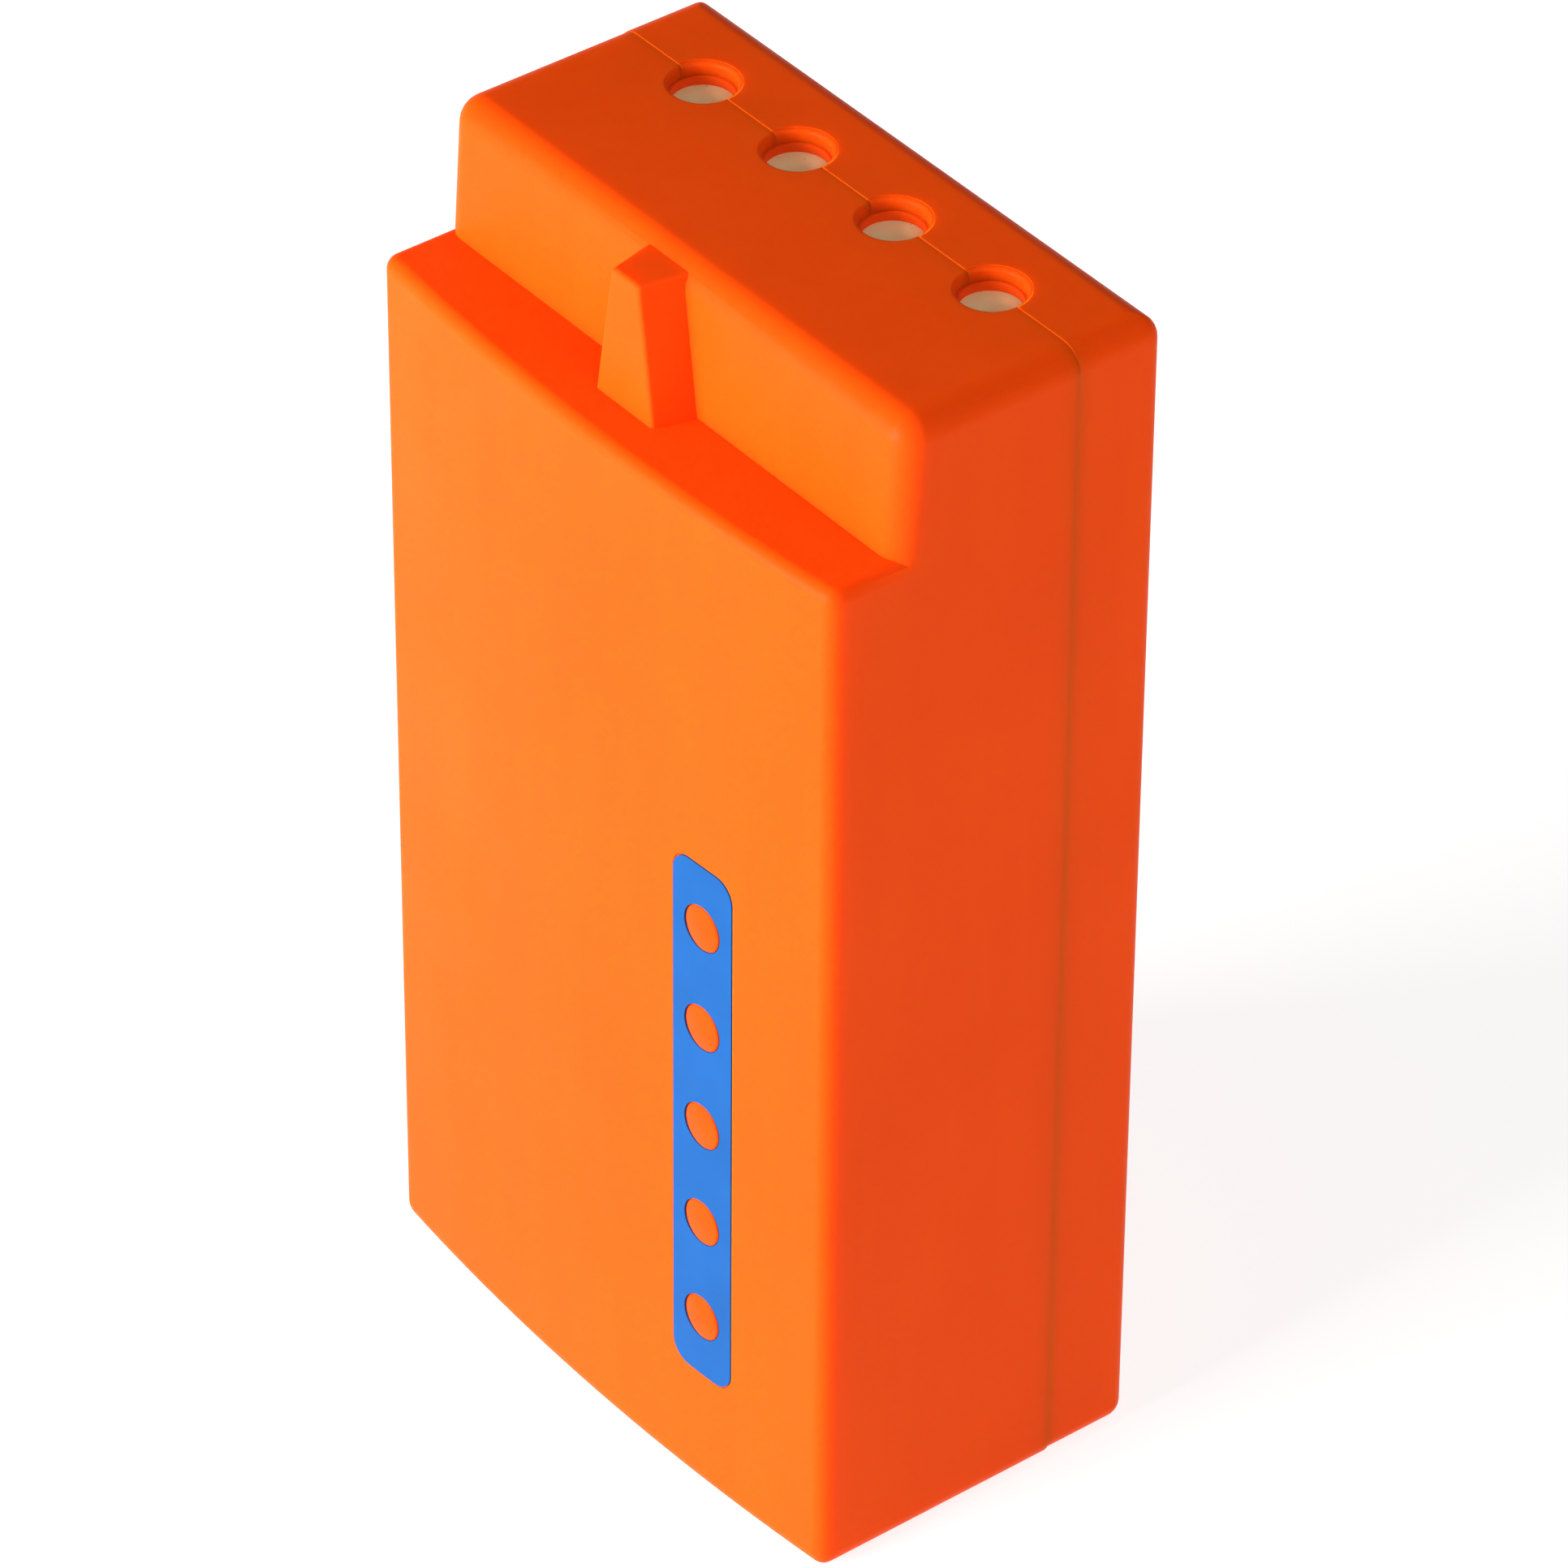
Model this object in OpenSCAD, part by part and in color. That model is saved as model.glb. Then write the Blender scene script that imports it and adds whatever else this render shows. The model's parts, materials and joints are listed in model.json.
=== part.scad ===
// Slide-in rechargeable battery pack: a welded two-part case with a stepped neck and a key rib,
// four recessed contacts in the top, a five-window charge gauge, and three series cells inside.
// Origin at the middle of the base. The contacts face +Z and the bowed gauge face looks along -Y.

/* [Case] */
// Overall width from side to side
case_w = 60; // [60:0.5:64]
// Depth of a side face, from the front corner to the rear face
side_d = 33.2; // [33:0.2:36]
// How far the middle of the front face stands out past its corners
bulge = 1.7; // [1.2:0.1:3]
// Overall height, from the base to the contact face
case_h = 115.3; // [114.5:0.1:122]
// Height of the step in front of the neck
ledge_z = 102.5; // [101:0.5:104]
// Depth of the neck at its foot, from the rear face
neck_d = 26.8; // [26:0.2:28]
// Angle at which the neck's front wall leans back
neck_draft = 3.5; // [1:0.5:5]
// Depth of the rear half, from the rear face to the seam
rear_d = 8.6; // [8.5:0.1:9.2]
// Wall thickness of both halves
wall = 1.8; // [1.6:0.1:2]
// How far the rear half is set in at the sides of the seam
seam_inset = 0.05; // [0.05:0.05:0.3]
// How much higher than the front half the rear half is welded
seam_rise = 0.15; // [0.1:0.05:0.3]

/* [Edges] */
// Radius of the neck's top edges
top_r = 2.3; // [1.5:0.1:3]
// Radius of the base edges
base_r = 2.2; // [1.5:0.1:3]
// Radius of the neck's front vertical edges
neck_r = 2.3; // [1.5:0.1:3]
// Radius of the front vertical edges
front_r = 1.5; // [1:0.1:2.5]
// Radius of the rear vertical edges
rear_r = 1.5; // [1:0.1:2.5]
// Radius of the step's outer edge
ledge_r = 1.2; // [0.6:0.1:1.6]

/* [Key rib] */
// Width of the rib's front face at the step
rib_foot_w = 8; // [6:0.1:10]
// Sideways place of the rib's foot
rib_foot_x = -0.3; // [-1:0.1:1]
// Width of the rib's front face at its top
rib_top_w = 3.8; // [3:0.1:6]
// Sideways place of the rib's top
rib_top_x = -1.1; // [-2:0.1:2]
// How far the rib stands off the neck wall
rib_d = 3.9; // [2.5:0.1:4.5]
// How much each flank widens towards the neck wall
rib_flare = 0.8; // [0:0.1:1.5]
// Drop of the rib's top below the contact face
rib_drop = 0.8; // [0.5:0.1:3]
// Radius of the rib's edges
rib_r = 0.4; // [0.2:0.1:0.8]

/* [Contacts] */
// Centre distance of neighbouring contacts
contact_pitch = 12.5; // [12:0.1:13]
// Diameter of the openings in the case
mouth_d = 5.8; // [5.8:0.1:6.4]
// Radius of the openings' rims
mouth_r = 0.4; // [0.1:0.1:0.6]
// Diameter of the guide bores in the carrier
guide_d = 5.4; // [5.2:0.1:5.4]
// Depth of the contact discs below the contact face
recess = 2; // [1.8:0.1:2.6]

/* [Charge gauge] */
// Distance of the gauge from the middle of the case
gauge_x = 15; // [14.5:0.1:16]
// Height of the middle window
gauge_z = 40.2; // [40:0.2:42]
// Centre distance of neighbouring windows
window_pitch = 10.4; // [9.5:0.1:10.8]
// Diameter of a window
window_d = 4.4; // [4:0.1:4.8]
// Width of the label strip
label_w = 7.3; // [7:0.1:8.5]
// Height of the label strip
label_h = 54.2; // [52:0.2:58]
// Corner radius of the label strip
label_r = 2; // [1:0.1:3]

/* [Cells] */
// Diameter of a wrapped cell
cell_d = 18.4; // [18:0.1:18.4]
// Length of a cell
cell_h = 65; // [64.5:0.1:65.2]

/* [Hidden] */
$fn = 48;

case_colour = [1.0, 0.42, 0.06];

// Planes of the case along the depth
y_rear = (side_d + bulge) / 2;
y_front = -y_rear;
y_seam = y_rear - rear_d;
y_neck = y_rear - neck_d;
inner_rear = y_rear - wall;

// The front face is part of an upright cylinder
bow_r = (pow(case_w / 2, 2) + pow(bulge, 2)) / (2 * bulge);
bow_y = y_front + bow_r;
bow_span = 20;
min_r = 0.4;
far = 60;
hair = 0.03;
eps = 0.01;

// Tongue of the front half, which is welded into the rear half
tongue_in = 1.1;
tongue_h = 1.2;
tongue_gap = 0.1;

// Contact stack, from the case roof downwards
roof_z = case_h - wall;
carrier_w = 51;
carrier_d = 9;
carrier_top = case_h - 1.2;
carrier_z = case_h - 4.2;
disc_z = case_h - recess;
disc_t = 0.8;
disc_r = guide_d / 2 + 0.4;
stem_r = 0.9;
contact_board_t = 1.6;
contact_board_z = carrier_z - contact_board_t;
contact_x = [for (i = [0:3]) (i - 1.5) * contact_pitch];
small_screw_r = 0.85;

// Charge gauge, from the front face inwards
window_z = [for (i = [0:4]) gauge_z + (2 - i) * window_pitch];
label_t = 0.25;
label_proud = 0.05;
gauge_face_y = bow_y - sqrt(bow_r * bow_r - gauge_x * gauge_x);
pipe_r = window_d / 2 - 0.05;
pipe_tip_y = gauge_face_y - 0.25;
pipe_flange_y = gauge_face_y + wall + 0.3;
pipe_flange_t = 0.8;
gauge_board_y = gauge_face_y + 7.7;
gauge_board_t = 1.2;
gauge_board_w = 10.6;
gauge_board_z = [gauge_z - 30.4, gauge_z + 30.6];
gauge_screw_z = [gauge_z - 27.6, gauge_z + 27.6];
led_t = 1;
led_gap = 0.3;
pipe_end_y = gauge_board_y - led_t - led_gap;

// Cells, side by side
cell_r = cell_d / 2;
cell_pitch = cell_d + 0.1;
cell_x = [-cell_pitch, 0, cell_pitch];
foam_rear_t = 0.8;
cell_y = inner_rear - foam_rear_t - cell_r;
foam_t = 1.5;
strip_t = 0.2;
strip_w = 7;
cell_z = wall + foam_t + strip_t;
cell_top = cell_z + cell_h;
cap_r = 4;
cap_h = 0.4;
ring_t = 0.3;
gusset_x = cell_pitch / 2;
gusset_y = cell_y - 8;
cradle_z = [18, 54];
cradle_t = 1.4;

// Main board, upright above the cells
board_w = 52;
board_t = 1.6;
board_y = cell_y - 7.8;
board_back = board_y + board_t;
board_z = [cell_top + 3.5, cell_top + 33];
guide_x = 25;
guide_t = 1.2;
board_play = 0.15;
chip_lead = 0.25;

// Flat-cable sockets
socket_w = 7;
socket_t = 2;
socket_h = 4;
gauge_socket_z = gauge_z + 19;
main_socket_z = board_z[0] + 6;

// Wires, which end on the back of the main board
lead_r = 0.6;
power_r = 0.7;
tap_r = 0.45;
lead_y = board_back + lead_r;
power_y = board_back + power_r;
tap_y = board_back + tap_r;

// Outline shapes and the case volume ------------------------------------------------------------

// Rectangle with round corners: r_lo on the lower corners and r_hi on the upper ones
module soft_rect(x0, x1, y0, y1, r_lo, r_hi) {
    polygon([
        [x0 + r_lo, y0], [x1 - r_lo, y0], [x1 - r_lo, y0 + r_lo], [x1, y0 + r_lo],
        [x1, y1 - r_hi], [x1 - r_hi, y1 - r_hi], [x1 - r_hi, y1], [x0 + r_hi, y1],
        [x0 + r_hi, y1 - r_hi], [x0, y1 - r_hi], [x0, y0 + r_lo], [x0 + r_lo, y0 + r_lo]
    ]);
    for (x = [x0 + r_lo, x1 - r_lo]) translate([x, y0 + r_lo]) circle(r_lo);
    for (x = [x0 + r_hi, x1 - r_hi]) translate([x, y1 - r_hi]) circle(r_hi);
}

// Plan of the case, t inside its skin. It runs past the bowed face, which bowed_block cuts.
module plan_outline(t, back) {
    hw = case_w / 2 - t;
    rf = max(front_r - t, min_r);
    rr = max(rear_r - t, min_r);
    reach = bow_r - t - rf;
    cx = hw - rf;
    cy = bow_y - sqrt(reach * reach - cx * cx);
    a = asin(cx / reach);
    fx = (reach + 8) * sin(a);
    fy = bow_y - (reach + 8) * cos(a);
    polygon([
        [-cx, cy], [-fx, fy], [fx, fy], [cx, cy], [hw, cy],
        [hw, back - rr], [hw - rr, back - rr], [hw - rr, back],
        [rr - hw, back], [rr - hw, back - rr], [-hw, back - rr], [-hw, cy]
    ]);
    for (s = [-1, 1]) {
        translate([s * cx, cy]) circle(rf);
        translate([s * (hw - rr), back - rr]) circle(rr);
    }
}

// Slab behind the bowed front face, with its base edge and its step edge rounded
module bowed_block(t) {
    r_lo = max(base_r - t, min_r);
    r_hi = max(ledge_r - t, min_r);
    translate([0, bow_y, 0]) rotate([0, 0, -90 - bow_span / 2])
        rotate_extrude(angle = bow_span, $fn = 720)
            soft_rect(bow_r - far, bow_r - t, t, ledge_z - t, r_lo, r_hi);
}

// Bar across the depth that rounds the edges along the sides between two heights.
// Its flat faces clear the case by a hair, so that each face of the case is cut only once.
module side_edges(t, z0, z1, r_lo, r_hi) {
    hw = case_w / 2 - t + hair;
    translate([0, far / 2, 0]) rotate([90, 0, 0]) linear_extrude(far)
        soft_rect(-hw, hw, z0 - hair, z1 + hair, r_lo, r_hi);
}

// The body below the step, before its plan is cut
module lower_block(t, back) {
    r_lo = max(base_r - t, min_r);
    r_hi = max(ledge_r - t, min_r);
    intersection() {
        bowed_block(t);
        side_edges(t, t, ledge_z - t, r_lo, r_hi);
        rotate([90, 0, 90]) linear_extrude(case_w + 2, center = true)
            soft_rect(-far, back + hair, t - hair, ledge_z + far, r_lo, r_lo);
    }
}

// Side outline of the neck, whose front wall leans back to meet the top edge's round.
// The inner face of the walls has square edges here.
module neck_side(t, back) {
    r = top_r - t;
    top = case_h - t;
    foot = y_neck + t / cos(neck_draft);
    low = ledge_z - 20;
    low_y = foot + (low - ledge_z) * tan(neck_draft);
    rear = back + hair;
    if (t < wall) {
        cz = top - r;
        cy = foot + (cz - ledge_z) * tan(neck_draft) + r / cos(neck_draft);
        polygon([
            [low_y, low], [cy - r * cos(neck_draft), cz + r * sin(neck_draft)],
            [cy, cz], [cy, top], [rear - r, top], [rear - r, top - r], [rear, top - r], [rear, low]
        ]);
        translate([cy, cz]) circle(r);
        translate([rear - r, top - r]) circle(r);
    } else {
        polygon([
            [low_y, low], [foot + (top - ledge_z) * tan(neck_draft), top], [rear, top], [rear, low]
        ]);
    }
}

// The neck above the step, before its plan is cut. Its corner rounds lean with the wall, and
// stand clear of a volume so far inside the skin that it has square corners.
module neck_block(t, back) {
    clear = t < wall ? hair : wall;
    hw = case_w / 2 - t + clear;
    intersection() {
        rotate([90, 0, 90]) linear_extrude(case_w + 2, center = true) neck_side(t, back);
        side_edges(t, ledge_z - 25, case_h - t, min_r, max(top_r - t, min_r));
        translate([0, y_neck + t / cos(neck_draft) - clear, ledge_z]) rotate([-neck_draft, 0, 0])
            translate([0, 0, -25]) linear_extrude(far)
                soft_rect(-hw, hw, 0, far, max(neck_r - t, min_r), min_r);
    }
}

// The whole case volume, t inside its skin and with its rear face at back
module case_solid(t, back) {
    intersection() {
        union() {
            lower_block(t, back);
            neck_block(t, back);
        }
        translate([0, 0, -1]) linear_extrude(case_h + 2) plan_outline(t, back);
    }
}

// Space between two planes across the depth
module slab(y0, y1) {
    translate([-far, y0, -far / 2]) cube([2 * far, y1 - y0, case_h + far]);
}

// Features of the case halves -------------------------------------------------------------------

// Key rib on the step: its flanks draw in upwards, one more than the other, and flare towards
// the neck wall
module key_rib() {
    lean = tan(neck_draft);
    foot_y = y_neck - rib_d + rib_r;
    top_z = case_h - rib_drop - rib_r;
    top_y = foot_y + (top_z - ledge_z) * lean;
    foot = rib_foot_w / 2 - rib_r;
    top = rib_top_w / 2 - rib_r;
    run = rib_d + 2;
    spread = rib_flare * run / (rib_d - rib_r);
    grip = 1.2;
    intersection() {
        hull() {
            translate([0, 0, ledge_z - 1]) linear_extrude(eps) for (s = [-1, 1]) {
                translate([rib_foot_x + s * foot, foot_y]) circle(rib_r, $fn = 24);
                translate([rib_foot_x + s * (foot + spread), foot_y + run]) circle(rib_r, $fn = 24);
            }
            for (s = [-1, 1]) {
                translate([rib_top_x + s * top, top_y, top_z]) sphere(rib_r, $fn = 24);
                translate([rib_top_x + s * (top + spread), top_y + run, top_z])
                    sphere(rib_r, $fn = 24);
            }
        }
        rotate([90, 0, 90]) linear_extrude(case_w, center = true)
            polygon([
                [y_neck - rib_d - 1, ledge_z - 2], [y_neck - rib_d - 1, case_h + 1],
                [y_neck + grip + (case_h + 1 - ledge_z) * lean, case_h + 1],
                [y_neck + grip - 2 * lean, ledge_z - 2]
            ]);
    }
}

// Openings over the contacts, with round rims, half in each part of the case
module contact_openings() {
    r = mouth_d / 2;
    for (x = contact_x) translate([x, y_seam, case_h]) rotate_extrude()
        polygon([
            [0, -wall - 1], [r, -wall - 1],
            for (a = [0:15:90]) [r + mouth_r * (1 - cos(a)), mouth_r * (sin(a) - 1)],
            [r + mouth_r, 1], [0, 1]
        ]);
}

// Seat of the contact carrier in the case roof
module carrier_seat() {
    gap = 0.1;
    translate([-carrier_w / 2 - gap, y_seam - carrier_d / 2 - gap, roof_z - 1])
        cube([carrier_w + 2 * gap, carrier_d + 2 * gap, carrier_top - roof_z + 1]);
}

// Stretch of the roof over the contact carrier, which has no tongue
module carrier_zone(margin) {
    translate([-carrier_w / 2 - margin, y_seam - 2, roof_z - 2]) cube([carrier_w + 2 * margin, 6, 6]);
}

// Welded rim: the tongue of the front half, or the rebate that takes it
module rim(inset, depth) {
    difference() {
        intersection() {
            difference() {
                case_solid(inset, y_rear);
                case_solid(wall, inner_rear);
            }
            slab(y_seam - 0.5, y_seam + depth);
        }
        carrier_zone(2);
    }
}

// Thin cross plates that follow the cells
module cradle(x0, x1, y0, y1) {
    difference() {
        intersection() {
            for (z = cradle_z) translate([x0, y0, z]) cube([x1 - x0, y1 - y0, cradle_t]);
            case_solid(wall - 0.3, inner_rear + 0.3);
        }
        for (x = cell_x) translate([x, cell_y, 0]) cylinder(h = 80, r = cell_r + 0.15, $fn = 64);
        for (x = [-gusset_x, gusset_x]) translate([x - 1.5, gusset_y - 1.5, 0]) cube([3, 12, 80]);
    }
}

// Posts that carry the gauge board
module gauge_posts() {
    root = wall - 0.4;
    for (z = gauge_screw_z) translate([gauge_x, gauge_board_y, z]) rotate([90, 0, 0])
        cylinder(h = gauge_board_y - gauge_face_y - root, r = 2.5);
}

module gauge_post_bores() {
    for (z = gauge_screw_z) translate([gauge_x, gauge_board_y + 1, z]) rotate([90, 0, 0])
        cylinder(h = 6, r = small_screw_r);
}

// Card guides for the main board on the side walls
module board_guides() {
    run = case_w / 2 - wall + 0.4 - guide_x;
    for (s = [-1, 1], y = [board_y - board_play - guide_t, board_back + board_play])
        translate([s > 0 ? guide_x : -guide_x - run, y, board_z[0] - 2])
            cube([run, guide_t, board_z[1] - board_z[0] - 2]);
}

// Label area on the bowed face, grown by the given amount and between two depths
module label_volume(grow, outer, inner) {
    intersection() {
        translate([0, 0, gauge_z]) rotate([90, 0, 0]) linear_extrude(far)
            soft_rect(
                gauge_x - label_w / 2 - grow, gauge_x + label_w / 2 + grow,
                -label_h / 2 - grow, label_h / 2 + grow, label_r, label_r
            );
        translate([0, bow_y, 0]) difference() {
            cylinder(h = ledge_z, r = bow_r + outer, $fn = 720);
            translate([0, 0, -1]) cylinder(h = ledge_z + 2, r = bow_r - inner, $fn = 720);
        }
    }
}

module window_holes(r, depth) {
    for (z = window_z) translate([gauge_x, gauge_face_y + depth, z]) rotate([90, 0, 0])
        cylinder(h = depth + 2, r = r);
}

module front_shell() {
    color(case_colour) difference() {
        union() {
            intersection() {
                difference() {
                    case_solid(0, y_rear);
                    case_solid(wall, inner_rear);
                }
                slab(-far, y_seam);
            }
            rim(tongue_in, tongue_h);
            key_rib();
            gauge_posts();
            board_guides();
            cradle(-case_w / 2, gauge_x - 8, y_front, cell_y - 3);
        }
        contact_openings();
        carrier_seat();
        gauge_post_bores();
        window_holes(window_d / 2, wall + 1);
        label_volume(0.1, 1, label_t - label_proud);
    }
}

module rear_shell() {
    label_depth = 0.3;
    color(case_colour) difference() {
        union() {
            intersection() {
                difference() {
                    translate([0, 0, seam_rise]) case_solid(seam_inset, y_rear);
                    case_solid(wall, inner_rear);
                }
                slab(y_seam, far);
            }
            cradle(-case_w / 2, case_w / 2, cell_y + 3.5, y_rear - 0.9);
        }
        difference() {
            intersection() {
                case_solid(tongue_in - tongue_gap, y_rear);
                slab(y_seam - 1, y_seam + tongue_h + tongue_gap);
            }
            carrier_zone(1.5);
        }
        contact_openings();
        carrier_seat();
        translate([0, y_rear - label_depth, 0]) rotate([-90, 0, 0]) linear_extrude(1)
            soft_rect(-23, 23, -95, -35, 2, 2);
    }
}

// Charge gauge ----------------------------------------------------------------------------------

module gauge_label() {
    color([0.23, 0.53, 0.92]) difference() {
        label_volume(0, label_proud, label_t - label_proud);
        window_holes(window_d / 2, wall);
    }
}

// Light pipe: domed lens, stop flange and stem, towards its lamp
module light_pipe(i) {
    dome_r = 9;
    lens_l = pipe_flange_y - pipe_tip_y;
    stem_l = pipe_end_y - pipe_flange_y - pipe_flange_t;
    color([1.0, 0.35, 0.05]) translate([gauge_x, pipe_end_y, window_z[i]]) rotate([90, 0, 0])
        intersection() {
            union() {
                cylinder(h = stem_l + eps, r = 1.6);
                translate([0, 0, stem_l]) cylinder(h = pipe_flange_t, r = 2.9);
                cylinder(h = stem_l + pipe_flange_t + lens_l, r = pipe_r);
            }
            translate([0, 0, stem_l + pipe_flange_t + lens_l - dome_r]) sphere(dome_r, $fn = 96);
        }
}

module gauge_board() {
    color([0.05, 0.3, 0.16]) difference() {
        translate([gauge_x - gauge_board_w / 2, gauge_board_y, gauge_board_z[0]])
            cube([gauge_board_w, gauge_board_t, gauge_board_z[1] - gauge_board_z[0]]);
        for (z = gauge_screw_z) translate([gauge_x, gauge_board_y + 3, z]) rotate([90, 0, 0])
            cylinder(h = 4, r = 1.15);
    }
}

// Surface-mount lamp: square base and round lens
module led(i) {
    base_t = 0.6;
    color([0.95, 0.9, 0.7]) translate([gauge_x, gauge_board_y, window_z[i]]) {
        translate([-1.6, -base_t, -0.8]) cube([3.2, base_t, 1.6]);
        rotate([90, 0, 0]) cylinder(h = led_t, r = 0.7);
    }
}

module gauge_resistors() {
    color([0.1, 0.1, 0.1])
        for (i = [0:3]) translate([gauge_x + 2.4, gauge_board_y - 0.5, window_z[i] - window_pitch / 2])
            cube([0.8, 0.5, 1.6]);
}

// Pan-head screw pointing along +Z, with its head's top at the origin
module pan_screw(shank_r, shank_l, head_r, head_h) {
    difference() {
        union() {
            cylinder(h = head_h, r = head_r);
            cylinder(h = head_h + shank_l, r = shank_r);
        }
        for (a = [0, 90]) rotate([0, 0, a])
            translate([-head_r * 0.6, -0.25, -1]) cube([head_r * 1.2, 0.5, 1 + head_h * 0.5]);
    }
}

module gauge_screws() {
    head_h = 1.2;
    color([0.75, 0.75, 0.78])
        for (z = gauge_screw_z)
            translate([gauge_x, gauge_board_y + gauge_board_t + head_h, z]) rotate([90, 0, 0])
                pan_screw(small_screw_r - 0.05, 5.5, 1.8, head_h);
}

// Flat-cable socket with its slot facing +Z (or -Z when flipped)
module flat_socket(flipped) {
    color([0.93, 0.92, 0.86]) difference() {
        translate([-socket_w / 2, -socket_t, 0]) cube([socket_w, socket_t, socket_h]);
        translate([-2.6, -socket_t / 2 - 0.2, flipped ? -1 : 1]) cube([5.2, 0.4, socket_h]);
    }
}

module gauge_socket() {
    translate([gauge_x, gauge_board_y + gauge_board_t + socket_t, gauge_socket_z]) flat_socket(false);
}

module main_socket() {
    translate([gauge_x, board_y, main_socket_z]) flat_socket(true);
}

// Flat cable between the two boards, as a folded strip
module gauge_ribbon() {
    t = 0.2;
    w = 5;
    lo_y = gauge_board_y + gauge_board_t + socket_t / 2;
    mid_y = board_y - 3.4;
    hi_y = board_y - socket_t / 2;
    path = cut_corners([
        [lo_y, gauge_socket_z + 1.2], [lo_y, gauge_socket_z + 4.6], [mid_y, gauge_socket_z + 6.4],
        [mid_y, board_z[0] + 0.5], [hi_y, main_socket_z - 2], [hi_y, main_socket_z + 2.8]
    ]);
    last = len(path) - 1;
    offset = [for (i = [0:last]) let (d = tangent(path, i)) [-d[1], d[0]] * t / 2];
    color([0.95, 0.95, 0.9]) translate([gauge_x, 0, 0]) rotate([90, 0, 90])
        linear_extrude(w, center = true)
            polygon([
                for (i = [0:last]) path[i] + offset[i],
                for (i = [last:-1:0]) path[i] - offset[i]
            ]);
}

// Main board ------------------------------------------------------------------------------------

module main_board() {
    color([0.05, 0.3, 0.16]) difference() {
        translate([-board_w / 2, board_y, board_z[0]])
            cube([board_w, board_t, board_z[1] - board_z[0]]);
        for (s = [-1, 1]) translate([s * (board_w / 2), board_y + 3, board_z[1]]) rotate([90, 0, 0])
            cylinder(h = 4, r = 2);
    }
}

// Flat package on the front of the main board, with leads on its two upright sides
module flat_package(x, z, w, h, t, leads) {
    step = h / leads;
    translate([x, board_y, z]) {
        translate([-w / 2, -t, -h / 2]) cube([w, t - 0.1, h]);
        for (s = [-1, 1], i = [0:leads - 1])
            translate([s * (w / 2 + 0.3) - 0.4, -0.6, -h / 2 + (i + 0.5) * step - chip_lead])
                cube([0.8, 0.6, 2 * chip_lead]);
    }
}

module mosfet(x) {
    color([0.12, 0.12, 0.13]) flat_package(x, board_z[0] + 20, 4, 5, 1.5, 4);
}

module controller_chip() {
    color([0.12, 0.12, 0.13]) flat_package(2, board_z[0] + 12, 5.3, 7.2, 1.5, 10);
}

module shunt_resistor() {
    color([0.7, 0.7, 0.72]) translate([-13, board_y, board_z[0] + 11]) {
        translate([-3.2, -1, -1.6]) cube([6.4, 1, 3.2]);
        for (s = [-1, 1]) translate([s * 2.9 - 0.5, -1.2, -1.7]) cube([1, 1.2, 3.4]);
    }
}

// Contacts --------------------------------------------------------------------------------------

module contact_carrier() {
    color([0.12, 0.12, 0.13]) difference() {
        translate([-carrier_w / 2, y_seam - carrier_d / 2, carrier_z])
            cube([carrier_w, carrier_d, carrier_top - carrier_z]);
        for (x = contact_x) translate([x, y_seam, 0]) {
            translate([0, 0, carrier_z - 1]) cylinder(h = 6, r = guide_d / 2);
            translate([0, 0, carrier_z - 1]) cylinder(h = disc_z - carrier_z + 1, r = disc_r);
        }
        for (s = [-1, 1]) translate([s * contact_pitch, y_seam, carrier_z - 1])
            cylinder(h = 3.2, r = small_screw_r);
    }
}

// Contact: disc held under the guide bore, with a stem soldered into the contact board
module contact_pad(i) {
    color([0.8, 0.68, 0.42]) translate([contact_x[i], y_seam, 0]) {
        translate([0, 0, disc_z - disc_t]) cylinder(h = disc_t, r = disc_r - 0.05);
        translate([0, 0, contact_board_z - 0.6]) cylinder(h = disc_z - contact_board_z, r = stem_r);
    }
}

module contact_board() {
    hole = stem_r + 0.05;
    color([0.05, 0.3, 0.16]) difference() {
        translate([-carrier_w / 2 + 0.5, y_seam - 4.2, contact_board_z])
            cube([carrier_w - 1, 8.4, contact_board_t]);
        for (x = contact_x) translate([x, y_seam, contact_board_z - 1]) cylinder(h = 4, r = hole);
        for (s = [-1, 1]) translate([s * contact_pitch, y_seam, contact_board_z - 1])
            cylinder(h = 4, r = 1.15);
    }
}

module contact_screws() {
    head_h = 1.2;
    color([0.75, 0.75, 0.78])
        for (s = [-1, 1]) translate([s * contact_pitch, y_seam, contact_board_z - head_h])
            pan_screw(small_screw_r - 0.05, 3.4, 1.8, head_h);
}

// Wires -----------------------------------------------------------------------------------------

// Path with its corners cut twice over, which rounds each bend
function cut_corners(p) = [
    p[0],
    for (i = [1:len(p) - 2], s = [-1, 1]) p[i] + (p[i + s] - p[i]) * 0.3,
    p[len(p) - 1]
];

function unit(v) = v / norm(v);

function tangent(p, i) = unit(p[min(i + 1, len(p) - 1)] - p[max(i - 1, 0)]);

// Sideways direction at ring i, carried along the path without twist
function side(p, i) = i == 0
    ? unit(cross(tangent(p, 0), [0.3, 1, 0.2]))
    : let (s = side(p, i - 1), t = tangent(p, i)) unit(s - (s * t) * t);

// Round wire along a list of points, as one closed tube
module wire(points, r) {
    sides = 8;
    path = cut_corners(cut_corners(points));
    rings = len(path);
    skin = [
        for (i = [0:rings - 1])
            let (s = side(path, i), u = cross(tangent(path, i), s))
                for (k = [0:sides - 1])
                    path[i] + r * (cos(360 * k / sides) * s + sin(360 * k / sides) * u)
    ];
    walls = [
        for (i = [0:rings - 2], k = [0:sides - 1])
            let (a = i * sides, n = (k + 1) % sides)
                each [[a + k, a + n, a + sides + n], [a + k, a + sides + n, a + sides + k]]
    ];
    start = [for (k = [sides - 1:-1:0]) k];
    end = [for (k = [0:sides - 1]) (rings - 1) * sides + k];
    flip = [for (f = concat([start], walls, [end])) [for (i = [len(f) - 1:-1:0]) f[i]]];
    polyhedron(skin, flip);
}

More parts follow.
